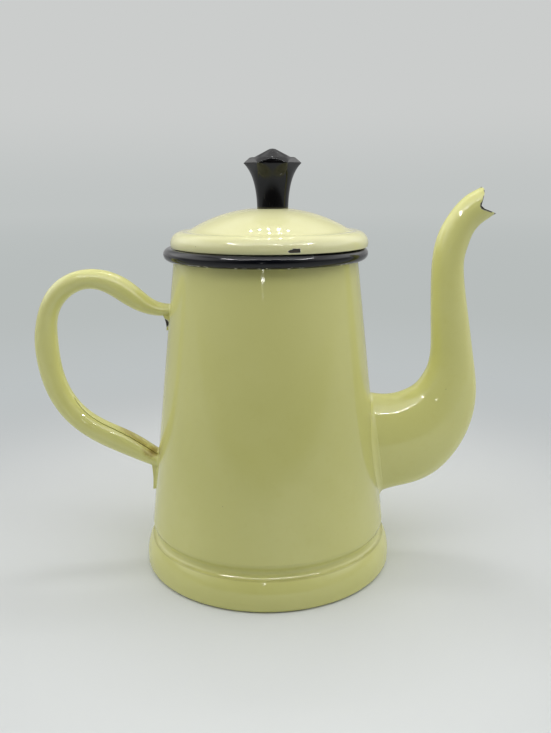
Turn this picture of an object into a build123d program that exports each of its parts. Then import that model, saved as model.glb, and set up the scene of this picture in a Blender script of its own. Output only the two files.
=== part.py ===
from build123d import *

import os
from math import cos, radians, sin, tan

# Enamelled steel coffee pot with a loose lid. Millimetres. The origin is the middle of the foot, on
# the surface that the pot stands on. +Z is up, +X points along the spout and -X along the handle.

# Sheet steel with its coats of enamel
wall = 1.1

# Conical wall: radii are those of its outer surface
mouth_height = 172.4  # middle of the rolled edge
mouth_radius = 48.5
cone_foot_height = 24.5
cone_foot_radius = 65.4
wall_top_drop = 2.0  # the sheet's end, below the middle of the rolled edge

# Swaged groove over the base pan, and the edge where the wall sits on the pan
groove_height = 19.0
groove_depth = 1.8  # in from the foot of the cone
joint_height = 16.2
joint_flare = 2.2  # out from the groove

# Base pan
base_overhang = 3.3  # out from the joint
base_side_height = 5.0
base_corner = 2.2
base_lap = 6.5  # upright of the pan inside the wall, above the groove
base_ring_width = 5.0
base_recess = 2.4

# Rolled edge of the mouth
rim_radius = 3.3
rim_wire_radius = 2.1
rim_wire_clearance = 0.05

# Strainer holes in the wall behind the spout
strainer_hole = 4.4
strainer_pitch_across = 8.6
strainer_pitch_up = 14.0
strainer_height = 66.0

# Swan-neck spout. Each section runs from a point of its upper outline to one of its lower outline,
# and has its breadth across the middle plane. A point is a distance out from the wall and a height.
spout_sections = [
    ((-5.1, 96.1), (-5.3, 35.3), 38.6),
    ((2.3, 94.1), (2.1, 37.5), 35.6),
    ((10.6, 93.7), (9.7, 39.7), 34.4),
    ((18.9, 95.7), (22.5, 43.1), 33.4),
    ((24.8, 98.8), (35.0, 50.3), 32.0),
    ((29.4, 103.6), (47.2, 63.8), 29.2),
    ((32.9, 109.3), (54.9, 78.5), 27.1),
    ((34.8, 115.3), (58.7, 95.4), 24.7),
    ((35.9, 122.7), (58.4, 114.2), 22.4),
    ((36.9, 137.9), (57.1, 136.1), 20.0),
    ((38.3, 156.0), (56.0, 156.0), 17.9),
    ((40.4, 170.9), (56.8, 169.1), 17.0),
    ((43.5, 180.7), (59.0, 175.3), 16.5),
    ((48.4, 189.2), (62.1, 181.9), 16.1),
    ((54.4, 196.6), (66.4, 186.7), 15.8),
    ((61.5, 202.4), (71.3, 190.0), 15.7),
    ((69.0, 206.2), (76.3, 192.6), 15.3),
]
# V-cut of the pouring lip, seen from the side
lip_outline = [
    (67.4, 207.5),
    (68.3, 204.6),
    (67.8, 202.6),
    (66.8, 200.0),
    (65.4, 196.4),
    (67.0, 194.8),
    (71.0, 193.3),
    (75.4, 191.7),
    (85.5, 191.6),
    (85.5, 207.5),
]

# Handle: a tube rolled from sheet, from its lower end on the wall to its upper one. Its seam gapes
# along the lower run, and is closed from there on.
handle_points = [
    (-1.7, 56.3),
    (14.1, 63.8),
    (39.9, 76.6),
    (56.9, 93.8),
    (65.7, 120.0),
    (63.6, 146.8),
    (45.1, 159.0),
    (26.4, 152.8),
    (11.6, 143.9),
    (-2.0, 142.2),
]
handle_start = (-1.0, 0.0, 0.35)
handle_end = (1.0, 0.0, -0.02)
# Share of the path, depth in the middle plane, breadth across it, and angle of the seam
handle_sections = [
    (0.00, 8.6, 16.0, 232),
    (0.05, 11.0, 15.0, 232),
    (0.12, 13.3, 13.8, 234),
    (0.22, 12.9, 13.4, 240),
    (0.32, 12.5, 13.2, 256),
    (0.42, 12.5, 13.0, 276),
    (0.52, 12.2, 13.0, 280),
    (0.62, 10.6, 13.2, 280),
    (0.71, 10.7, 13.4, 280),
    (0.80, 11.4, 13.2, 280),
    (0.88, 11.5, 13.0, 280),
    (0.94, 8.2, 12.8, 280),
    (1.00, 5.8, 12.8, 280),
]
handle_wall = 1.1
handle_seam = 0.5
open_sections = 5  # that the seam gapes through, counted from the lower end
lower_foot_drop = 0.3  # top of the foot, below the middle of the tube's end
lower_foot_length = 15.5
lower_foot_toe = 1.5  # thickness of the foot at its end
lower_foot_root = 3.6  # distance out from the wall where the foot leaves the tube
upper_foot_drop = 1.2
upper_foot_length = 9.5
upper_foot_toe = 0.8
upper_foot_root = 4.2
foot_arc = 11.0  # degrees of the wall that each foot spans

# Lid, a little off the pot's axis because it lies loose in the mouth
lid_shift = 1.95
lid_gap = 0.3  # under the lid's edge, over the rolled edge of the mouth
lid_overhang = 3.6  # out from the mouth
lid_edge_radius = 6.2
lid_edge_turn = 17.0  # degrees that the edge leans back in
lid_dip_width = 3.1  # of the hollow round the dome
lid_dome_rise = 1.2  # this rise and the next two are over the shoulder
lid_middle_width = 14.4  # from the hollow in to the middle of the dome's slope
lid_middle_rise = 7.8
lid_flat_radius = 10.4
lid_flat_rise = 11.3

# Collar under the lid
collar_clearance = 0.45  # in the mouth, on the side that the lid has shifted to
collar_wall = 0.9
collar_depth = 17.0

# Six-sided knob, off the lid's middle by its own small error
knob_shift = 1.9
knob_neck = 7.1  # half the width across flats
knob_neck_height = 5.6
knob_flare = 13.0
knob_flare_height = 23.6
knob_bevel = 45.0  # degrees that the bevels over the faces lean inwards
knob_cap_height = 30.1
knob_cap_slope = 24.2  # degrees below level
knob_tip_radius = 5.0

# Knob fixing
screw_radius = 2.0
thread_clearance = 0.05
screw_head_radius = 3.8
screw_head_height = 2.2
screw_slot = 0.9
screw_slot_depth = 1.1
screw_grip = 8.0
washer_radius = 5.5
washer_thickness = 0.8
hole_clearance = 0.3
insert_radius = 3.2
insert_length = 10.0
insert_end = 1.0


def cone_radius(height):
    """Outer radius of the conical wall at a height."""
    slope = (mouth_radius - cone_foot_radius) / (mouth_height - cone_foot_height)
    return cone_foot_radius + slope * (height - cone_foot_height)


def beside_wall(out, height, side=1):
    """Point of the middle plane, out from the wall on the spout's side, or on the other with -1."""
    return Vector(side * (cone_radius(height) + out), 0, height)


def handle_plane(path, share):
    """Plane square to the handle's path at a share of its length, with its own X along Y."""
    return Plane(origin=path @ share, x_dir=(0, 1, 0), z_dir=path % share)


groove_radius = cone_foot_radius - groove_depth
joint_radius = groove_radius + joint_flare
base_radius = joint_radius + base_overhang
rim_middle_radius = mouth_radius - wall + rim_radius
wall_top = mouth_height - wall_top_drop
lid_shoulder = (
    mouth_height
    + rim_radius
    + lid_gap
    + lid_edge_radius * (1 + sin(radians(lid_edge_turn)))
)
lid_top = lid_shoulder + lid_flat_rise
lid_underside = lid_top - wall
lid_plane = Plane(origin=(lid_shift, 0, 0), x_dir=(1, 0, 0), z_dir=(0, -1, 0))
lid_axis = Axis((lid_shift, 0, 0), (0, 0, 1))
collar_radius = mouth_radius - wall - lid_shift - collar_clearance
lid_radius = mouth_radius + lid_overhang
lid_shoulder_radius = collar_radius - collar_wall
lid_dome_radius = lid_shoulder_radius - lid_dip_width
lid_middle_radius = lid_dome_radius - lid_middle_width
knob_x = lid_shift + knob_shift
knob_axis = Axis((knob_x, 0, 0), (0, 0, 1))
knob_seat = Plane((knob_x, 0, lid_top))

# Solid cone with the wall's outer surface: what is welded to the wall is cut to it
with BuildPart() as cone:
    with BuildSketch(Plane.XZ):
        with BuildLine():
            Polyline(
                (0, groove_height),
                (cone_radius(groove_height), groove_height),
                (mouth_radius, mouth_height),
                (0, mouth_height),
                close=True,
            )
        make_face()
    revolve(axis=Axis.Z)

# Body: one profile of constant thickness, turned round the axis
with BuildPart() as body_shell:
    with BuildSketch(Plane.XZ):
        with BuildLine():
            flare = TangentArc(
                (groove_radius, groove_height),
                (joint_radius, joint_height),
                tangent=(0, -1),
            )
            hollow = TangentArc(
                (groove_radius, groove_height),
                (
                    (groove_radius + cone_foot_radius) / 2,
                    (groove_height + cone_foot_height) / 2,
                ),
                tangent=(0, 1),
            )
            swell = TangentArc(
                hollow @ 1, (cone_foot_radius, cone_foot_height), tangent=hollow % 1
            )
            Line(swell @ 1, (cone_radius(wall_top), wall_top))
            offset(amount=wall, side=Side.RIGHT)
        make_face()
    revolve(axis=Axis.Z)
    # Room for the rolled edge on top of the wall
    with BuildSketch(Plane.XZ):
        with Locations((rim_middle_radius, mouth_height)):
            Circle(rim_radius)
    revolve(axis=Axis.Z, mode=Mode.SUBTRACT)
    # Staggered strainer holes, punched outwards from the middle of the pot
    with BuildSketch(Plane.YZ):
        with Locations((0, strainer_height)):
            with GridLocations(strainer_pitch_across, strainer_pitch_up, 3, 3):
                Circle(strainer_hole / 2)
            with GridLocations(strainer_pitch_across, strainer_pitch_up, 2, 2):
                Circle(strainer_hole / 2)
    extrude(amount=base_radius, mode=Mode.SUBTRACT)
body_shell.part.label = "body_shell"

# Base pan: the wall sits on its shoulder, and its upright laps the wall inside
with BuildPart() as base_pan:
    with BuildSketch(Plane.XZ):
        with BuildLine():
            lap_radius = groove_radius - wall
            ring_radius = base_radius - base_corner
            recess_radius = ring_radius - base_ring_width
            bottom = Polyline(
                (0, base_recess),
                (recess_radius - wall / 2, base_recess),
                (recess_radius + wall / 2, 0),
                (ring_radius, 0),
            )
            corner = TangentArc(
                bottom @ 1, (base_radius, base_corner), tangent=(1, 0)
            )
            side = Line(corner @ 1, (base_radius, base_side_height))
            shoulder = TangentArc(side @ 1, flare @ 1, tangent=(0, 1))
            seat = Line(
                shoulder @ 1, shoulder @ 1 + (flare % 1).rotate(Axis.Z, -90) * wall
            )
            throat = TangentArc(
                seat @ 1, (lap_radius, groove_height), tangent=(flare % 1) * -1
            )
            Line(throat @ 1, (lap_radius, groove_height + base_lap))
            offset(amount=wall, side=Side.LEFT)
        make_face()
    revolve(axis=Axis.Z)
base_pan.part.label = "base_pan"

# Rolled edge of the mouth, with the wire inside it
with BuildPart() as rim_bead:
    with BuildSketch(Plane.XZ):
        with Locations((rim_middle_radius, mouth_height)):
            Circle(rim_radius)
            Circle(rim_wire_radius + rim_wire_clearance, mode=Mode.SUBTRACT)
    revolve(axis=Axis.Z)
rim_bead.part.label = "rim_bead"

with BuildPart() as rim_wire:
    with BuildSketch(Plane.XZ):
        with Locations((rim_middle_radius, mouth_height)):
            Circle(rim_wire_radius)
    revolve(axis=Axis.Z)
rim_wire.part.label = "rim_wire"

# Spout: each half is lofted through half-oval sections of sheet, then cut to the wall and the lip
with BuildPart() as spout_left_half:
    for upper, lower, breadth in spout_sections:
        top = beside_wall(*upper)
        bottom = beside_wall(*lower)
        up = (top - bottom).normalized()
        depth = (top - bottom).length
        section = Plane(
            origin=(top + bottom) / 2, x_dir=up, z_dir=up.cross(Vector(0, 1, 0))
        )
        with BuildSketch(section):
            with BuildLine():
                outer = EllipticalCenterArc(
                    (0, 0), depth / 2, breadth / 2, arc_size=180
                )
                inner = EllipticalCenterArc(
                    (0, 0), depth / 2 - wall, breadth / 2 - wall, arc_size=180
                )
                Line(outer @ 0, inner @ 0)
                Line(outer @ 1, inner @ 1)
            make_face()
    loft()
    add(cone.part, mode=Mode.SUBTRACT)
    with BuildSketch(Plane.XZ):
        with BuildLine():
            Polyline(
                *[(beside_wall(*point).X, point[1]) for point in lip_outline],
                close=True,
            )
        make_face()
    extrude(amount=breadth, both=True, mode=Mode.SUBTRACT)
spout_left_half.part.label = "spout_left_half"

with BuildPart() as spout_right_half:
    mirror(spout_left_half.part, about=Plane.XZ)
spout_right_half.part.label = "spout_right_half"

# Handle: a foot for each end, then a tube lofted along a bent path, its bore and its open seam
with BuildPart() as handle:
    lower_end = handle_points[0][1]
    upper_end = handle_points[-1][1]
    for top, length, toe, root in (
        (lower_end - lower_foot_drop, lower_foot_length, lower_foot_toe, lower_foot_root),
        (upper_end - upper_foot_drop, upper_foot_length, upper_foot_toe, upper_foot_root),
    ):
        bottom = top - length
        with BuildSketch(Plane.XZ.rotated((0, 0, 180 - foot_arc / 2))):
            with BuildLine():
                face = TangentArc(
                    (cone_radius(bottom) + toe, bottom),
                    (cone_radius(top) + root, top),
                    tangent=(cone_radius(top) - cone_radius(bottom), top - bottom),
                )
                Polyline(
                    face @ 1,
                    (cone_radius(top) - wall, top),
                    (cone_radius(bottom) - wall, bottom),
                    face @ 0,
                )
            make_face()
        revolve(axis=Axis.Z, revolution_arc=foot_arc)
    with BuildLine() as handle_path:
        Spline(
            *[beside_wall(*point, side=-1) for point in handle_points],
            tangents=(handle_start, handle_end),
        )
    path = handle_path.wire()
    for share, depth, breadth, seam in handle_sections:
        with BuildSketch(handle_plane(path, share)):
            Ellipse(breadth / 2, depth / 2)
    loft()
    for share, depth, breadth, seam in handle_sections:
        with BuildSketch(handle_plane(path, share)):
            Ellipse(breadth / 2 - handle_wall, depth / 2 - handle_wall)
    loft(mode=Mode.SUBTRACT)
    for share, depth, breadth, seam in handle_sections[:open_sections]:
        with BuildSketch(handle_plane(path, share)):
            with Locations(
                (breadth / 2 * cos(radians(seam)), depth / 2 * sin(radians(seam)))
            ):
                Rectangle(handle_wall * 3, handle_seam, rotation=seam)
    loft(mode=Mode.SUBTRACT)
    add(cone.part, mode=Mode.SUBTRACT)
handle.part.label = "handle"

# Lid: one profile of constant thickness with an ogee dome and a bullnose edge
with BuildPart() as lid_shell:
    with BuildSketch(lid_plane):
        with BuildLine():
            edge_middle = (
                lid_radius - lid_edge_radius,
                lid_shoulder - lid_edge_radius,
            )
            flat = Line((0, lid_top), (lid_flat_radius, lid_top))
            dome = ThreePointArc(
                flat @ 1,
                (lid_middle_radius, lid_shoulder + lid_middle_rise),
                (lid_dome_radius, lid_shoulder + lid_dome_rise),
            )
            dip = TangentArc(
                dome @ 1, (lid_shoulder_radius, lid_shoulder), tangent=dome % 1
            )
            Line(dip @ 1, (edge_middle[0], lid_shoulder))
            CenterArc(edge_middle, lid_edge_radius, 90, arc_size=-90 - lid_edge_turn)
            offset(amount=wall, side=Side.RIGHT)
        make_face()
    revolve(axis=lid_axis)
    with BuildSketch(knob_seat):
        Circle(screw_radius + hole_clearance)
    extrude(amount=-lid_flat_rise, mode=Mode.SUBTRACT)
lid_shell.part.label = "lid_shell"

# Collar: a ring with its flange welded under the lid's shoulder
with BuildPart() as lid_collar:
    with BuildSketch(lid_plane):
        with BuildLine():
            collar_top = lid_shoulder - wall
            flange_radius = lid_radius - lid_edge_radius
            Polyline(
                (collar_radius - collar_wall, collar_top - collar_depth),
                (collar_radius, collar_top - collar_depth),
                (collar_radius, collar_top - collar_wall),
                (flange_radius, collar_top - collar_wall),
                (flange_radius, collar_top),
                (collar_radius - collar_wall, collar_top),
                close=True,
            )
        make_face()
    revolve(axis=lid_axis)
lid_collar.part.label = "lid_collar"

# Knob: three flared bars crossed at 60 degrees leave the six hollow faces, and a turned cap tops it
with BuildPart() as knob:
    for turn in (0, 60, 120):
        face_plane = Plane(knob_seat.origin, x_dir=(0, 1, 0), z_dir=(1, 0, 0))
        with BuildSketch(face_plane.rotated((0, 0, turn))):
            with BuildLine():
                neck = Line((knob_neck, 0), (knob_neck, knob_neck_height))
                bend = TangentArc(
                    neck @ 1, (knob_flare, knob_flare_height), tangent=(0, 1)
                )
                bevel = Line(
                    bend @ 1,
                    (
                        0,
                        knob_flare_height + knob_flare / tan(radians(knob_bevel)),
                    ),
                )
                Polyline(bevel @ 1, (0, 0), neck @ 0)
            make_face()
            mirror(about=Plane.YZ)
        extrude(
            amount=knob_flare * 2,
            both=True,
            mode=Mode.ADD if turn == 0 else Mode.INTERSECT,
        )
    with BuildSketch(Plane(knob_seat.origin, x_dir=(1, 0, 0), z_dir=(0, -1, 0))):
        with BuildLine():
            tip = CenterArc(
                (0, knob_cap_height - knob_tip_radius),
                knob_tip_radius,
                90,
                arc_size=-knob_cap_slope,
            )
            cap_width = knob_flare * 2
            cap_fall = (cap_width - (tip @ 1).X) * tan(radians(knob_cap_slope))
            cap = Line(tip @ 1, (cap_width, (tip @ 1).Y - cap_fall))
            Polyline(cap @ 1, (cap_width, 0), (0, 0), tip @ 0)
        make_face()
    revolve(axis=knob_axis, mode=Mode.INTERSECT)
    with BuildSketch(knob_seat):
        Circle(insert_radius)
    extrude(amount=insert_length, mode=Mode.SUBTRACT)
knob.part.label = "knob"

# Brass insert, moulded into the knob
with BuildPart() as knob_insert:
    with BuildSketch(knob_seat):
        Circle(insert_radius)
    extrude(amount=insert_length)
    with BuildSketch(knob_seat):
        Circle(screw_radius + thread_clearance)
    extrude(amount=insert_length - insert_end, mode=Mode.SUBTRACT)
knob_insert.part.label = "knob_insert"

# Slotted screw from under the lid, and its washer
with BuildPart() as knob_washer:
    with BuildSketch(Plane((knob_x, 0, lid_underside))):
        Circle(washer_radius)
        Circle(screw_radius + hole_clearance, mode=Mode.SUBTRACT)
    extrude(amount=-washer_thickness)
knob_washer.part.label = "knob_washer"

with BuildPart() as knob_screw:
    head_top = lid_underside - washer_thickness
    with BuildSketch(Plane((knob_x, 0, head_top))):
        Circle(screw_head_radius)
    extrude(amount=-screw_head_height)
    with BuildSketch(Plane((knob_x, 0, head_top))):
        Circle(screw_radius)
    extrude(amount=lid_top - head_top + screw_grip)
    with BuildSketch(Plane((knob_x, 0, head_top - screw_head_height))):
        Rectangle(screw_head_radius * 2, screw_slot)
    extrude(amount=screw_slot_depth, mode=Mode.SUBTRACT)
knob_screw.part.label = "knob_screw"

os.makedirs("parts", exist_ok=True)
for piece in (
    body_shell,
    base_pan,
    rim_bead,
    rim_wire,
    spout_left_half,
    spout_right_half,
    handle,
    lid_shell,
    lid_collar,
    knob,
    knob_insert,
    knob_washer,
    knob_screw,
):
    export_step(piece.part, f"parts/{piece.part.label}.step")
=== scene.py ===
from math import atan, cos, pi, radians, sin

import bmesh
import bpy
import numpy as np
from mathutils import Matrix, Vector


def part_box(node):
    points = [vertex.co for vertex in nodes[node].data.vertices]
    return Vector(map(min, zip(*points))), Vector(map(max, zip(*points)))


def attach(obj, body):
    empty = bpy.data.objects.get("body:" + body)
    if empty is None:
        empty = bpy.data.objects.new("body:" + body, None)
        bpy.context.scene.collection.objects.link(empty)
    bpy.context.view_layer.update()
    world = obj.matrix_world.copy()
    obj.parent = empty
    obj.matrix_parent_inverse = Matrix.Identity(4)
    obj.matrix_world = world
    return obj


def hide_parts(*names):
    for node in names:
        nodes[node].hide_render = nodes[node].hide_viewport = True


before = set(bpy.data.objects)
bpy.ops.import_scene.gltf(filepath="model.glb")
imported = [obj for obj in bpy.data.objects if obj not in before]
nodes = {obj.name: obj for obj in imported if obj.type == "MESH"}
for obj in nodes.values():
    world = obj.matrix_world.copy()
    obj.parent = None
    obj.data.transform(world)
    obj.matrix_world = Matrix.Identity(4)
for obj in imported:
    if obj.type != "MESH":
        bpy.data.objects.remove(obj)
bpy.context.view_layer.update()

MM = 0.001

# Conical wall, as in the CAD, in millimetres
CONE_FOOT_HEIGHT, CONE_FOOT_RADIUS = 24.5, 65.4
MOUTH_HEIGHT, MOUTH_RADIUS = 172.4, 48.5
JOINT_HEIGHT = 16.2  # where the base pan meets the wall

# Camera: fitted to the photograph's outlines. It stands in front of the pot, 0.4 m from its axis.
CAMERA_PLACE = (4.85 * MM, -400.0 * MM, 209.5 * MM)
CAMERA_PITCH = 13.992
CAMERA_ROLL = 0.312
CAMERA_LENS = 36.68
SENSOR = 36.0

camera_data = bpy.data.cameras.new("camera")
camera_data.sensor_fit = "AUTO"
camera_data.sensor_width = SENSOR
camera_data.lens = CAMERA_LENS
camera_data.clip_start = 0.01
camera = bpy.data.objects.new("camera", camera_data)
camera.location = CAMERA_PLACE
camera.rotation_mode = "ZYX"  # the roll first, about the line of sight
camera.rotation_euler = (radians(90 - CAMERA_PITCH), 0, radians(-CAMERA_ROLL))
bpy.context.scene.collection.objects.link(camera)
bpy.context.scene.camera = camera
bpy.context.scene.view_settings.view_transform = "Standard"


def rgb(red, green, blue):
    """Linear colour of an 8-bit sRGB one."""
    def linear(value):
        value /= 255
        return value / 12.92 if value <= 0.04045 else ((value + 0.055) / 1.055) ** 2.4

    return (linear(red), linear(green), linear(blue), 1.0)


# Enamel: tone, thin coat and thick coat. The body's is the darkest, the lid's the palest.
BODY = (rgb(203, 202, 125), rgb(196, 190, 107), rgb(208, 207, 133))
# Painted light: a paler body tone, laid on towards the top
BODY_TOP_PAINTED_LIGHT = rgb(219, 218, 144)
LIMB = (rgb(223, 222, 143), rgb(214, 207, 120), rgb(227, 226, 152))
LID = (rgb(229, 227, 170), rgb(222, 216, 148), rgb(233, 231, 179))
# Wear
PALE_EDGE = rgb(232, 230, 205)
GROUND_COAT = rgb(24, 24, 20)
BARE_STEEL = rgb(46, 42, 30)
DARK_RUST = rgb(58, 44, 24)
RUST = rgb(152, 132, 62)
STAIN = rgb(186, 170, 90)
GRIME = rgb(132, 126, 70)
# Rings of a chip, whose outline is at 1: each one fades in between its two numbers
CHIP_EDGE, CHIP_COAT, CHIP_STEEL = (1.22, 1.08), (1.05, 0.97), (0.75, 0.55)
# Surroundings
# The floor's front colour is painted shade: it darkens the floor on the camera's side, where the
# pot's gloss reflects it
FLOOR_NEAR, FLOOR_FAR, FLOOR_FRONT_SHADE = rgb(214, 217, 217), rgb(198, 201, 201), rgb(60, 60, 60)
BACKDROP_NEAR, BACKDROP_BAND = rgb(190, 195, 196), rgb(184, 189, 188)
BACKDROP_HORIZON, BACKDROP_HIGH = rgb(192, 196, 195), rgb(203, 205, 204)


class Shader:
    """Adds nodes to one material's or world's tree and links them."""

    def __init__(self, tree):
        tree.nodes.clear()
        self.nodes = tree.nodes
        self.links = tree.links

    def node(self, kind, **values):
        n = self.nodes.new(kind)
        for key, value in values.items():
            setattr(n, key, value)
        return n

    def set(self, socket, value):
        if isinstance(value, bpy.types.NodeSocket):
            self.links.new(value, socket)
        else:
            socket.default_value = value

    def math(self, operation, a, b=0.0):
        n = self.node("ShaderNodeMath", operation=operation)
        self.set(n.inputs[0], a)
        self.set(n.inputs[1], b)
        return n.outputs[0]

    def times(self, a, b):
        return self.math("MULTIPLY", a, b)

    def plus(self, a, b):
        return self.math("ADD", a, b)

    def least(self, values):
        result = values[0]
        for value in values[1:]:
            result = self.math("MINIMUM", result, value)
        return result

    def vector(self, operation, a, b=(0, 0, 0)):
        n = self.node("ShaderNodeVectorMath", operation=operation)
        self.set(n.inputs[0], a)
        self.set(n.inputs["Scale" if operation == "SCALE" else 1], b)
        return n.outputs["Value" if operation in ("DISTANCE", "DOT_PRODUCT") else "Vector"]

    def mix(self, factor, a, b):
        """Colour a where factor is 0 and b where it is 1."""
        n = self.node("ShaderNodeMix", data_type="RGBA")
        self.set(n.inputs[0], factor)
        self.set(n.inputs[6], a)
        self.set(n.inputs[7], b)
        return n.outputs[2]

    def blend(self, factor, a, b):
        """Number a where factor is 0 and b where it is 1."""
        n = self.node("ShaderNodeMix", data_type="FLOAT")
        self.set(n.inputs[0], factor)
        self.set(n.inputs[2], a)
        self.set(n.inputs[3], b)
        return n.outputs[0]

    def either(self, factor, a, b):
        """Shader a where factor is 0 and b where it is 1."""
        n = self.node("ShaderNodeMixShader")
        for socket, value in zip(n.inputs, (factor, a, b)):
            self.links.new(value, socket)
        return n.outputs[0]

    def ramp(self, value, low, high):
        """0 up to low and 1 from high, or the other way round where high is the lower."""
        n = self.node("ShaderNodeMapRange", interpolation_type="SMOOTHSTEP")
        self.set(n.inputs[0], value)
        self.set(n.inputs[1], low)
        self.set(n.inputs[2], high)
        return n.outputs[0]

    def split(self, vector):
        n = self.node("ShaderNodeSeparateXYZ")
        self.set(n.inputs[0], vector)
        return n.outputs[0], n.outputs[1], n.outputs[2]

    def camera_ray(self):
        return self.node("ShaderNodeLightPath").outputs["Is Camera Ray"]


class Finish(Shader):
    """A material: colour, roughness and height are laid on layer by layer.

    Lengths are in millimetres, and so are x, y and z. The scale of noise and cells is per metre.
    """

    def __init__(self, name, colour, rough, ior=1.5):
        self.material = bpy.data.materials.new(name)
        self.material.use_nodes = True
        super().__init__(self.material.node_tree)
        self.place = self.node("ShaderNodeTexCoord").outputs["Object"]
        self.x, self.y, self.z = self.split(self.vector("SCALE", self.place, 1 / MM))
        self.shader = self.node("ShaderNodeBsdfPrincipled")
        self.shader.inputs["IOR"].default_value = ior
        self.colour = colour
        self.rough = rough
        self.height = 0.0

    def noise(self, scale, detail=2.0, roughness=0.5, along=1.0):
        """Clouds from 0 to 1; where along is below 1 they are drawn out along Z."""
        n = self.node("ShaderNodeTexNoise")
        drawn = self.place if along == 1.0 else self.vector("MULTIPLY", self.place, (1, 1, along))
        self.set(n.inputs["Vector"], drawn)
        self.set(n.inputs["Scale"], scale)
        self.set(n.inputs["Detail"], detail)
        self.set(n.inputs["Roughness"], roughness)
        return n.outputs[0]

    def cells(self, scale):
        """Distance from the nearest of many scattered points, as a share of their spacing."""
        n = self.node("ShaderNodeTexVoronoi")
        self.set(n.inputs["Vector"], self.place)
        self.set(n.inputs["Scale"], scale)
        return n.outputs[0]

    def offset(self, centre, size, turn=0.0):
        """Place from a centre as a share of a size, turned about Z."""
        n = self.node("ShaderNodeMapping", vector_type="TEXTURE")
        self.set(n.inputs["Vector"], self.place)
        n.inputs["Location"].default_value = [c * MM for c in centre]
        n.inputs["Rotation"].default_value = (0, 0, radians(turn))
        n.inputs["Scale"].default_value = [c * MM for c in size]
        return n.outputs[0]

    def oval(self, centre, size, turn=0.0):
        """Distance from a centre: 1 on an oval of that half size."""
        return self.vector("DISTANCE", self.offset(centre, size, turn))

    def block(self, centre, size):
        """Distance from a centre: 1 on the faces of a block of that half size."""
        x, y, z = self.split(self.vector("ABSOLUTE", self.offset(centre, size)))
        return self.math("MAXIMUM", self.math("MAXIMUM", x, y), z)

    def path(self, points):
        """Distance from a line through points (x, z), both seen along Y."""
        flat = self.vector("MULTIPLY", self.place, (1 / MM, 0, 1 / MM))
        apart = []
        for (x1, z1), (x2, z2) in zip(points, points[1:]):
            along = Vector((x2 - x1, 0, z2 - z1))
            out = self.vector("SUBTRACT", flat, (x1, 0, z1))
            share = self.vector("DOT_PRODUCT", out, along / along.length_squared)
            share = self.math("MAXIMUM", self.math("MINIMUM", share, 1.0), 0.0)
            apart.append(self.vector("DISTANCE", out, self.vector("SCALE", along, share)))
        return self.least(apart)

    def layer(self, mask, colour=None, rough=None, height=None):
        """Lays a colour, a roughness or a height over what is there, where the mask is 1."""
        if colour is not None:
            self.colour = self.mix(mask, self.colour, colour)
        if rough is not None:
            self.rough = self.blend(mask, self.rough, rough)
        if height is not None:
            self.height = self.plus(self.times(mask, height), self.height)

    def chip(self, apart, ragged):
        """Enamel gone inside apart = 1: a pale broken edge, black ground coat and dark steel."""
        wobble = self.times(self.plus(self.noise(900, 3, 0.6), -0.5), ragged * 2)
        apart = self.plus(apart, wobble)
        self.layer(self.ramp(apart, *CHIP_EDGE), PALE_EDGE)
        self.layer(self.ramp(apart, *CHIP_COAT), GROUND_COAT, rough=0.45, height=-0.12)
        steel = self.mix(self.ramp(self.noise(1500), 0.4, 0.65), BARE_STEEL, DARK_RUST)
        self.layer(self.ramp(apart, *CHIP_STEEL), steel, rough=0.6, height=-0.05)

    def stain(self, apart, strength, colour):
        """A stain, full at apart = 0, whose ragged edge fades out at 1."""
        ragged = self.times(self.plus(self.noise(420, 4, 0.65), -0.5), 1.3)
        inside = self.ramp(self.plus(apart, ragged), 1.0, 0.1)
        self.layer(self.times(inside, strength), colour, rough=0.35)

    def grime(self, height, reach, strength):
        """A line of grime round the pot, fading to nothing at its reach up and down."""
        off = self.math("ABSOLUTE", self.plus(self.z, -height))
        self.layer(self.times(self.ramp(off, reach, 0.1), strength), GRIME, rough=0.2)

    def done(self, surface=None):
        """The material, with the finished shader or another surface as its output."""
        self.set(self.shader.inputs["Base Color"], self.colour)
        self.set(self.shader.inputs["Roughness"], self.rough)
        bump = self.node("ShaderNodeBump")
        bump.inputs["Strength"].default_value = 1.0
        bump.inputs["Distance"].default_value = MM
        self.set(bump.inputs["Height"], self.height)
        self.set(self.shader.inputs["Normal"], bump.outputs[0])
        out = self.node("ShaderNodeOutputMaterial")
        self.links.new(surface or self.shader.outputs[0], out.inputs[0])
        return self.material


def enamel(name, tones, waves=0.035):
    """Vitreous enamel: thicker and thinner clouds, a slow waviness, orange peel and pinholes."""
    tone, thin, thick = tones
    f = Finish(name, tone, 0.055, ior=1.56)
    f.layer(f.ramp(f.noise(18, 3), 0.4, 0.7), thick, rough=0.03)
    f.layer(f.times(f.ramp(f.noise(260), 0.5, 0.8), 0.12), thin, rough=0.1)
    f.layer(f.noise(62, 1, 0.4), height=waves)
    f.layer(f.noise(700, 1, 0.4), height=0.0012)
    pinhole = f.ramp(f.cells(85), 0.022, 0.014)
    f.layer(f.times(pinhole, 0.8), GRIME, rough=0.4, height=-0.03)
    return f


# Damage: centres and half sizes in millimetres, and for one a turn about Z in degrees
WALL_STAIN = (-61.5, -4, 59), (5, 9, 8)  # under the handle's lower end
HANDLE_STAIN = (-65.0, -6, 63.0), (6.2, 12, 4.8)
HANDLE_RUST = (-64.2, -6, 62.0), (4.2, 12, 3.0)
HANDLE_CHIP = (-54.3, -5, 135.4), (1.8, 4.5, 2.2)  # under the upper foot
LID_CHIP_BLUNT = (14.9, -51.0, 177.7), (1.75, 8.0, 0.92)
LID_CHIP_POINT = (13.1, -51.0, 177.45), (2.1, 4.0, 0.75), 12.0

# Open seam of the handle, seen from the side, up to the wall
HANDLE_SEAM = ((-97, 83.5), (-86, 77.8), (-79, 73.1), (-72, 68.4), (-68.5, 65.6))

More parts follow.
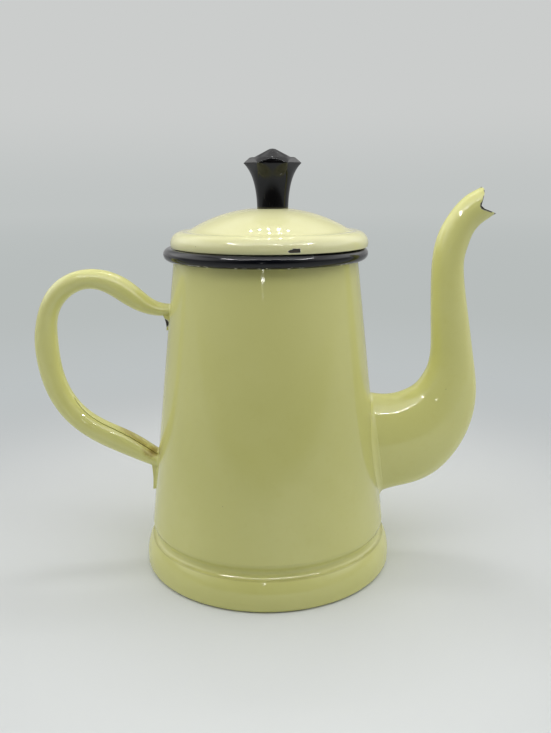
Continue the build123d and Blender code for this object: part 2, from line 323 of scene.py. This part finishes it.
# Broken edge of the pouring lip: strokes seen from the side, and their half widths
LIP = (
    (((111.6, 207.2), (112.6, 205.9)), 0.55),
    (((112.9, 204.0), (113.0, 203.0)), 0.2),
    (((112.6, 201.0), (112.0, 198.8), (111.2, 197.2)), 0.42),
    (((111.2, 197.2), (111.15, 196.3)), 0.65),
    (((111.2, 196.2), (112.0, 195.3), (113.4, 194.7)), 0.8),
    (((114.4, 194.25), (117.1, 193.3)), 0.6),
    (((119.9, 192.2), (121.7, 191.7)), 0.75),
)


def body_finish():
    f = enamel("yellow_enamel_body", BODY)
    # Painted light: the body's tone is paler towards the top, standing in for the brighter light
    # on the upper wall
    f.layer(f.times(f.ramp(f.z, 60, 165), 0.75), BODY_TOP_PAINTED_LIGHT)
    broken = f.ramp(f.noise(45, 3, 0.6), 0.3, 0.7)
    f.grime(JOINT_HEIGHT + 0.15, 0.8, f.times(broken, 0.4))  # above the joint, in places
    f.stain(f.oval(*WALL_STAIN), 0.5, STAIN)
    return f.done()


def base_finish():
    f = enamel("yellow_enamel_base", BODY)
    # Enamel worn through on the ring that the pot stands on
    low = f.plus(f.z, f.times(f.noise(220, 3, 0.6), 1.4))
    f.chip(f.plus(low, 0.12), 0.2)
    f.grime(JOINT_HEIGHT - 0.1, 0.6, 0.3)
    return f.done()


def handle_finish():
    f = enamel("yellow_enamel_handle", LIMB)
    # Rust that has run from the open seam, more of it towards the wall
    apart = f.path(HANDLE_SEAM)
    near = f.ramp(f.x, -96, -70)
    f.stain(f.math("DIVIDE", apart, f.blend(near, 1.0, 2.4)), f.blend(near, 0.25, 0.5), STAIN)
    f.stain(f.math("DIVIDE", apart, f.blend(near, 0.5, 1.0)), f.blend(near, 0.2, 0.5), RUST)
    # A patch of it, darker low down, beside the wall
    f.stain(f.oval(*HANDLE_STAIN), 0.9, STAIN)
    f.stain(f.oval(*HANDLE_RUST), 0.85, RUST)
    f.chip(f.oval(*HANDLE_CHIP), 0.2)
    return f.done()


def spout_finish():
    f = enamel("yellow_enamel_spout", LIMB)
    # The two halves' welded seam, ground smooth under the enamel
    f.layer(f.ramp(f.math("ABSOLUTE", f.y), 0.6, 0.0), height=0.02)
    uneven = f.blend(f.noise(330, 3, 0.7), 0.45, 1.55)
    strokes = [
        f.math("DIVIDE", f.path(points), f.times(uneven, width)) for points, width in LIP
    ]
    f.chip(f.least(strokes), 0.15)
    return f.done()


def lid_finish():
    f = enamel("yellow_enamel_lid", LID, 0.016)
    # Chip in the front of the edge: blunt at one end and pointed at the other
    f.chip(f.least([f.block(*LID_CHIP_BLUNT), f.oval(*LID_CHIP_POINT)]), 0.2)
    # Pin-sized spots along the lower edge
    spot = f.times(f.ramp(f.z, 176.0, 174.0), f.ramp(f.cells(260), 0.15, 0.1))
    f.layer(f.times(spot, f.ramp(f.noise(40), 0.42, 0.52)), GROUND_COAT, rough=0.4)
    return f.done()


def bead_finish():
    f = Finish("black_enamel", rgb(7, 8, 12), 0.06, ior=1.42)
    f.layer(f.noise(90, 3), rgb(13, 15, 21), rough=0.1)
    f.layer(f.noise(160, 2, 0.4), height=0.03)
    # Yellow spatter and wear along the lower edge, where the two enamels meet
    low = f.ramp(f.z, MOUTH_HEIGHT - 2.1, MOUTH_HEIGHT - 2.9)
    speck = f.ramp(f.cells(420), 0.42, 0.28)
    patchy = f.ramp(f.noise(60), 0.4, 0.55)
    f.layer(f.times(f.times(low, speck), f.times(patchy, 0.95)), PALE_EDGE, rough=0.3)
    return f.done()


def bakelite_finish():
    f = Finish("black_bakelite", rgb(5, 5, 8), 0.08, ior=1.46)
    f.layer(f.noise(120, 3), rgb(11, 10, 9), rough=0.15)
    scratch = f.noise(1800, 2, 0.6, along=0.06)
    f.layer(f.ramp(scratch, 0.58, 0.75), rgb(24, 22, 18), rough=0.28, height=-0.0006)
    f.layer(f.noise(160, 1, 0.4), height=0.006)
    return f.done()


def metal_finish(name, colour, worn, rough):
    """Turned metal, darker and rougher in patches."""
    f = Finish(name, colour, rough)
    f.shader.inputs["Metallic"].default_value = 1.0
    f.layer(f.noise(150, 4, 0.6), worn, rough=rough * 1.7)
    f.layer(f.noise(2500, 1, along=0.02), height=0.004)
    return f.done()


def dress(name, m):
    """Puts a material in every slot of a CAD node."""
    o = nodes[name]
    if not o.material_slots:
        o.data.materials.append(m)
    for slot in o.material_slots:
        slot.material = m


handle_enamel = handle_finish()
spout_enamel = spout_finish()
bakelite = bakelite_finish()
steel = metal_finish("plain_steel", rgb(150, 146, 140), rgb(112, 98, 84), 0.3)
for node, m in {
    "body_shell": body_finish(),
    "base_pan": base_finish(),
    "spout_left_half": spout_enamel,
    "spout_right_half": spout_enamel,
    "handle": handle_enamel,
    "lid_shell": lid_finish(),
    "lid_collar": enamel("yellow_enamel_collar", LID).done(),
    "rim_bead": bead_finish(),
    "rim_wire": steel,
    "knob": bakelite,
    "knob_insert": metal_finish("brass", rgb(205, 168, 92), rgb(160, 124, 62), 0.22),
    "knob_screw": steel,
    "knob_washer": steel,
}.items():
    dress(node, m)


def grid_object(name, rows, m, closed=False, smooth_columns=None):
    """A surface over rows of points, the last row joined to the first.

    Closed joins the ends of each row too. It is smooth but for the columns from smooth_columns on.
    """
    count = len(rows[0])
    faces = []
    smooth = []
    for j in range(len(rows)):
        k = (j + 1) % len(rows)
        for i in range(count if closed else count - 1):
            n = (i + 1) % count
            faces.append((j * count + i, k * count + i, k * count + n, j * count + n))
            smooth.append(smooth_columns is None or i < smooth_columns)
    mesh = bpy.data.meshes.new(name)
    mesh.from_pydata([tuple(p) for row in rows for p in row], [], faces)
    mesh.polygons.foreach_set("use_smooth", smooth)
    b = bmesh.new()
    b.from_mesh(mesh)
    bmesh.ops.remove_doubles(b, verts=b.verts, dist=1e-7)
    bmesh.ops.recalc_face_normals(b, faces=b.faces)
    b.to_mesh(mesh)
    b.free()
    mesh.materials.append(m)
    o = bpy.data.objects.new(name, mesh)
    bpy.context.scene.collection.objects.link(o)
    return o


def cone_radius(height):
    """Outer radius of the wall at a height."""
    slope = (MOUTH_RADIUS - CONE_FOOT_RADIUS) / (MOUTH_HEIGHT - CONE_FOOT_HEIGHT)
    return CONE_FOOT_RADIUS + slope * (height - CONE_FOOT_HEIGHT)


def triangles(names):
    """Corners of the triangles of CAD nodes, in millimetres."""
    found = []
    for name in names:
        mesh = nodes[name].data
        mesh.calc_loop_triangles()
        corners = np.array([v.co for v in mesh.vertices]) / MM
        found.append(corners[np.array([t.vertices[:] for t in mesh.loop_triangles])])
    return np.concatenate(found)


# Fillets of enamel round the ends of the spout and the handle, in millimetres
WELD_DIRECTIONS = 180  # points round the piece
WELD_STEPS = 7  # points from the wall to the piece
WELD_NEAR = 45  # only triangles this near the middle's height are looked at
WELD_SINK = 0.06  # the foot lies this deep in the wall, and the corner this far out from it
WELD_OVERLAP = 0.05  # the head reaches this far into the piece
WELD_BACK = 0.4  # the hidden edge lies this deep in the wall and in the piece


def outline(corners, out, facing, middle, directions):
    """Outline, on the wall unrolled flat, of a piece's section at a distance out from the wall.

    Gives the outline's distance from the middle for each direction. The middle is a height on the
    line of the wall that faces +X (facing 1) or -X (facing -1).
    """
    corners = corners[np.abs(corners[:, :, 2] - middle).max(axis=1) < WELD_NEAR]
    x, y, z = corners[..., 0] * facing, corners[..., 1], corners[..., 2]
    level = np.hypot(x, y) - cone_radius(z) - out
    flat = np.stack([np.arctan2(y, x) * cone_radius(z), z - middle], axis=-1)
    crossed = (level.min(axis=1) < 0) & (level.max(axis=1) > 0)
    ends = []
    for triangle, points in zip(level[crossed], flat[crossed]):
        pair = []
        for a, b in ((0, 1), (1, 2), (2, 0)):
            if (triangle[a] < 0) != (triangle[b] < 0):
                share = triangle[a] / (triangle[a] - triangle[b])
                pair.append(points[a] + share * (points[b] - points[a]))
        ends.append(pair)
    start, end = np.array(ends)[:, 0], np.array(ends)[:, 1]
    reach = []
    for direction in directions:
        ahead = np.array([cos(direction), sin(direction)])
        side = np.array([-ahead[1], ahead[0]])
        first, last = start @ side, end @ side
        hit = (first < 0) != (last < 0)
        share = first[hit] / (first[hit] - last[hit])
        reach.append((start[hit] @ ahead + share * ((end[hit] - start[hit]) @ ahead)).max())
    return np.array(reach)


def smoothed(points):
    """Points of a closed line, evened out."""
    for _ in range(3):
        points = (np.roll(points, 1, axis=0) + 2 * points + np.roll(points, -1, axis=0)) / 4
    return points


def weld(name, piece_nodes, facing, middle, low, side, high, m):
    """A concave fillet round a piece's end on the wall; low, side and high are its sizes."""
    directions = [2 * pi * k / WELD_DIRECTIONS for k in range(WELD_DIRECTIONS)]
    unit = np.array([(cos(d), sin(d)) for d in directions])
    corners = triangles(piece_nodes)

    def section(out):
        return outline(corners, out, facing, middle, directions)[:, None] * unit

    up = unit[:, 1:]
    size = side + (np.where(up > 0, high, low) - side) * up ** 2
    least, most = min(low, side, high), max(low, side, high)
    near, far = section(least), section(most)
    root = smoothed(section(WELD_SINK))
    top = smoothed(near + (size - least) / (most - least) * (far - near))
    along = np.roll(root, -1, axis=0) - np.roll(root, 1, axis=0)
    away = np.stack([along[:, 1], -along[:, 0]], axis=1)
    away /= np.linalg.norm(away, axis=1)[:, None]
    profile = []
    for i in range(WELD_STEPS):
        t = i / (WELD_STEPS - 1)
        foot, corner, head = (1 - t) ** 2, 2 * t * (1 - t), t ** 2
        place = foot * (root + away * size) + corner * root + head * (top - away * WELD_OVERLAP)
        profile.append((place, head * size - foot * WELD_SINK))
    profile.append((root - away * WELD_BACK, size * 0 - WELD_BACK))
    rows = []
    for k in range(WELD_DIRECTIONS):
        row = []
        for place, out in profile:
            height = middle + place[k][1]
            angle = place[k][0] / cone_radius(height)
            radius = cone_radius(height) + out[k][0]
            x, y = facing * radius * cos(angle), radius * sin(angle)
            row.append((x * MM, y * MM, height * MM))
        rows.append(row)
    o = grid_object(name, rows, m, closed=True, smooth_columns=WELD_STEPS - 1)
    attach(o, "pot")


weld("spout_weld", ("spout_left_half", "spout_right_half"), 1, 66.0, 2.8, 3.4, 1.8, spout_enamel)
weld("handle_weld_lower", ("handle",), -1, 54.0, 0.9, 1.1, 1.6, handle_enamel)
weld("handle_weld_upper", ("handle",), -1, 141.0, 0.5, 0.8, 1.0, handle_enamel)


# Knob, moulded and polished: it flares to a six-sided rim with steep facets. Over them come a
# chamfer that is round about the axis, a flat ring and a blunt cone. Millimetres above its seat.
KNOB_CORNER_RADIUS, KNOB_RIM_RADIUS = 8.2, 15.0  # at the corners, at the seat and at the rim
KNOB_SLOW_FLARE = 4.56  # share of the widening that is slow; the rest comes right under the rim
KNOB_RIM_HEIGHT, KNOB_RING_HEIGHT = 22.9, 25.7
KNOB_FACET_LEAN = 0.3  # of the facets over the rim, inwards for each millimetre up
KNOB_LEAST_FACET = 0.02  # height of a facet at its corners
KNOB_CHAMFER_RADIUS, KNOB_RING_RADIUS, KNOB_RING_RISE = 11.8, 9.7, 0.1
KNOB_TIP_HEIGHT, KNOB_TIP_RADIUS = 30.1, 5.0
KNOB_TIP_BLUNT = 0.35  # taken off the cone's height where its slope is set
KNOB_SIDE_POWER, KNOB_RIM_POWER = 3.2, 120  # the higher, the sharper the upright corners
KNOB_SIDE_STEPS = 22
KNOB_EDGE = 0.4  # cut back from each edge, at most
EDGE_SHARE = 0.35  # of the shorter face beside an edge that may be cut back
EDGE_FLAT = 1.35  # of the cut, where the flat part of the face begins
KNOB_TURNS = (0, 0.25, 0.5, 0.8, 1.2, 1.8, 2.8, 4.5, 7, 11, 16, 23, 30)  # degrees from a corner


def knob_profile(flats):
    """Points (radius, height) from seat to tip, and which of them are edges.

    Flats says how squarely each of the six flats faces, from 0 to 1.
    """
    def stretch(power):
        return sum(f ** power for f in flats) ** (-1 / power)

    def flat_share(power):
        return 0.5 ** (-1 / power) * cos(radians(30))

    points = []
    fast_flare = KNOB_RIM_RADIUS - KNOB_CORNER_RADIUS - KNOB_SLOW_FLARE
    for i in range(KNOB_SIDE_STEPS + 1):
        share = i / KNOB_SIDE_STEPS
        corner = KNOB_CORNER_RADIUS + KNOB_SLOW_FLARE * share ** 2 + fast_flare * share ** 6
        sharp = share ** 4
        power = 1 / ((1 - sharp) / KNOB_SIDE_POWER + sharp / KNOB_RIM_POWER)
        radius = corner * flat_share(power) * stretch(power)
        points.append((radius, KNOB_RIM_HEIGHT * share))
    # The facets end where they meet the chamfer, lowest at the corners
    room = KNOB_RING_HEIGHT - KNOB_RIM_HEIGHT
    rim = points[-1][0]
    lean = KNOB_FACET_LEAN * stretch(KNOB_RIM_POWER)
    facet = (KNOB_RIM_RADIUS - rim) / ((KNOB_RIM_RADIUS - KNOB_CHAMFER_RADIUS) / room - lean)
    facet = max(facet, KNOB_LEAST_FACET)
    points.append((rim - lean * facet, KNOB_RIM_HEIGHT + facet))
    points.append((KNOB_CHAMFER_RADIUS, KNOB_RING_HEIGHT))
    ring_top = KNOB_RING_HEIGHT + KNOB_RING_RISE
    points.append((KNOB_RING_RADIUS, ring_top))
    slope = atan((KNOB_TIP_HEIGHT - KNOB_TIP_BLUNT - KNOB_RING_HEIGHT) / KNOB_RING_RADIUS)
    ball = KNOB_TIP_HEIGHT - KNOB_TIP_RADIUS
    edge = KNOB_TIP_RADIUS * sin(slope)
    edge_height = ball + KNOB_TIP_RADIUS * cos(slope)
    for share in (0.33, 0.67, 1.0):
        radius = KNOB_RING_RADIUS + (edge - KNOB_RING_RADIUS) * share
        points.append((radius, ring_top + (edge_height - ring_top) * share))
    for share in (0.8, 0.6, 0.4, 0.2):
        angle = slope * share
        points.append((KNOB_TIP_RADIUS * sin(angle), ball + KNOB_TIP_RADIUS * cos(angle)))
    # Edges: rim, facets to chamfer, chamfer to ring and ring to cone
    return [np.array(p) for p in points], range(KNOB_SIDE_STEPS, KNOB_SIDE_STEPS + 4)


def softened(points, edges, size):
    """The same points, with each of the edges cut back by a size and rounded."""
    result = []
    for i, point in enumerate(points):
        if i not in edges:
            result.append(point)
            continue
        before, after = points[i - 1] - point, points[i + 1] - point
        room = EDGE_SHARE * min(np.linalg.norm(before), np.linalg.norm(after))
        start = before / np.linalg.norm(before) * min(size, room)
        end = after / np.linalg.norm(after) * min(size, room)
        # A short length of each face next to the edge keeps the rest of that face flat in shading
        result.append(point + EDGE_FLAT * start)
        for t in (0.0, 0.25, 0.5, 0.75, 1.0):
            result.append(point + (1 - t) ** 2 * start + t ** 2 * end)
        result.append(point + EDGE_FLAT * end)
    return result


def knob():
    low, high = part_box("knob")
    middle_x, middle_y = (low.x + high.x) / 2, (low.y + high.y) / 2
    # The last turn is left out: it is the first one from the next corner
    turns = sorted({side * turn for turn in KNOB_TURNS for side in (-1, 1)})[:-1]
    rows = []
    for corner in range(6):
        for turn in turns:
            angle = radians(60 * corner + turn)
            flats = [max(0.0, cos(angle - radians(30 + 60 * i))) for i in range(6)]
            row = [(middle_x, middle_y, low.z)]
            for radius, height in softened(*knob_profile(flats), KNOB_EDGE):
                x = middle_x + radius * cos(angle) * MM
                y = middle_y + radius * sin(angle) * MM
                row.append((x, y, low.z + height * MM))
            row.append((middle_x, middle_y, low.z + KNOB_TIP_HEIGHT * MM))
            rows.append(row)
    o = grid_object("knob_polished", rows, bakelite)
    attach(o, "lid")
    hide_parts("knob")


knob()

# Floor: lit where it is near the pot, and for the camera alone it fades to the plain backdrop
FLOOR_RADII = (0.0, 0.3, 1.0, 6.0)
FLOOR_SIDES = 96

f = Finish("floor", FLOOR_NEAR, 0.6)
far = f.times(f.vector("DISTANCE", f.place), 1 / MM)
f.layer(f.ramp(far, 120, 400), FLOOR_FAR)
f.layer(f.ramp(f.y, -300, -600), FLOOR_FRONT_SHADE)  # painted shade: the floor is darkened in front, on the camera's dark side
f.layer(f.noise(30, 3), rough=0.7, height=0.01)
backdrop = f.mix(f.ramp(far, 280, 900), BACKDROP_NEAR, BACKDROP_BAND)
lit = f.node("ShaderNodeEmission")
f.set(lit.inputs[0], f.mix(f.ramp(far, 1000, 5000), backdrop, BACKDROP_HORIZON))
seen = f.times(f.ramp(far, 160, 450), f.camera_ray())
floor_finish = f.done(f.either(seen, f.shader.outputs[0], lit.outputs[0]))

rows = []
for i in range(FLOOR_SIDES):
    angle = 2 * pi * i / FLOOR_SIDES
    rows.append([(radius * cos(angle), radius * sin(angle), 0.0) for radius in FLOOR_RADII])
floor = grid_object("floor", rows, floor_finish)
for polygon in floor.data.polygons:
    if polygon.normal.z < 0:
        polygon.flip()

# World: strengths of its parts. It is brightest to the sides and behind the pot, and dark on the
# camera's side.
SIDES_AT_FLOOR, SIDES_ABOVE = 0.45, 1.07
LOW_BACK, HIGH_BACK, HIGH_SIDES = 0.6, 0.35, 1.5

world = bpy.data.worlds.new("world")
bpy.context.scene.world = world
world.use_nodes = True
s = Shader(world.node_tree)
x, y, z = s.split(s.node("ShaderNodeTexCoord").outputs["Generated"])
# The sides are no brighter than the floor where they meet it
side_strength = s.blend(s.ramp(z, 0.0, 0.4), SIDES_AT_FLOOR, SIDES_ABOVE)
light = s.times(s.times(x, x), side_strength)
low_back = s.times(s.ramp(z, 0.6, 0.15), s.ramp(y, 0.1, 0.6))
high_back = s.times(s.ramp(z, 0.3, 0.75), s.ramp(y, 0.0, 0.3))
high_ring = s.times(s.ramp(z, 0.1, 0.35), s.ramp(z, 0.85, 0.6))
high_sides = s.times(s.times(s.ramp(y, -0.75, -0.1), s.ramp(y, 0.9, 0.5)), high_ring)
for part, strength in ((low_back, LOW_BACK), (high_back, HIGH_BACK), (high_sides, HIGH_SIDES)):
    light = s.plus(light, s.times(part, strength))
lit = s.node("ShaderNodeBackground")
s.set(lit.inputs[1], light)
backdrop = s.node("ShaderNodeBackground")
s.set(backdrop.inputs[0], s.mix(s.ramp(z, -0.03, 0.1), BACKDROP_HORIZON, BACKDROP_HIGH))
both = s.either(s.camera_ray(), lit.outputs[0], backdrop.outputs[0])
s.links.new(both, s.node("ShaderNodeOutputWorld").inputs[0])


def area_light(name, place, target, width, height, power):
    data = bpy.data.lights.new(name, "AREA")
    data.shape = "RECTANGLE"
    data.size = width
    data.size_y = height
    data.energy = power
    o = bpy.data.objects.new(name, data)
    o.location = place
    o.rotation_euler = (Vector(target) - Vector(place)).to_track_quat("-Z", "Y").to_euler()
    o.visible_camera = False
    bpy.context.scene.collection.objects.link(o)
    return o


# A pale ceiling with lamp strips on three sides and a panel of small lamps, and three small lamps
# by the camera. Metres and watts.
CEILING, LAMP_DROP = 0.68, 0.01  # height of strips and panel, and how far they hang down
LEFT, RIGHT, NEAR, FAR = -0.38, 0.45, -0.5, 0.35
CEILING_POWERS = (1.1, 0.88, 0.48, 0.28, 0.2)  # from the front to the back
STRIP_WIDTH = 0.009
NEAR_STRIP_POWER, SIDE_STRIP_POWER = 1.8, 2.0
SIDE_STRIP_END = -0.2
PANEL_COLUMNS, PANEL_ROWS = 5, 2
PANEL_START, PANEL_PITCH_X, PANEL_PITCH_Y = 0.195, 0.045, 0.055
PANEL_LAMP, PANEL_POWER = 0.008, 0.045
FRONT_X, FRONT_Y, FRONT_LAMP = -0.022, -0.43, 0.0035
FRONT_LAMPS = (  # name, height, width and power
    ("high", 0.213, 0.012, 0.0025),
    ("middle", 0.2015, 0.028, 0.0075),
    ("low", 0.187, 0.006, 0.001),
)
POT_MIDDLE = (0.0, 0.0, 0.12)

centre = (LEFT + RIGHT) / 2
depth = (FAR - NEAR) / len(CEILING_POWERS)
for i, power in enumerate(CEILING_POWERS):
    place = (centre, NEAR + (i + 0.5) * depth, CEILING + LAMP_DROP)
    area_light(f"ceiling_{i}", place, (*place[:2], 0), RIGHT - LEFT, depth, power)

side_middle, side_length = (NEAR + SIDE_STRIP_END) / 2, SIDE_STRIP_END - NEAR
for name, place, width, height, power in (
    ("near", (centre, NEAR, CEILING), RIGHT - LEFT, STRIP_WIDTH, NEAR_STRIP_POWER),
    ("left", (LEFT, side_middle, CEILING), STRIP_WIDTH, side_length, SIDE_STRIP_POWER),
    ("right", (RIGHT, side_middle, CEILING), STRIP_WIDTH, side_length, SIDE_STRIP_POWER),
):
    lamp = area_light(f"strip_{name}", place, (*place[:2], 0), width, height, power)
    lamp.visible_diffuse = False  # it is there for its thin reflection in the enamel

for column in range(PANEL_COLUMNS):
    for row in range(PANEL_ROWS):
        x = (column - (PANEL_COLUMNS - 1) / 2) * PANEL_PITCH_X
        place = (x, PANEL_START + row * PANEL_PITCH_Y, CEILING)
        name = f"panel_{column}_{row}"
        area_light(name, place, POT_MIDDLE, PANEL_LAMP, PANEL_LAMP, PANEL_POWER)

for name, height, width, power in FRONT_LAMPS:
    place = (FRONT_X, FRONT_Y, height)
    area_light(f"front_lamp_{name}", place, POT_MIDDLE, width, FRONT_LAMP, power)
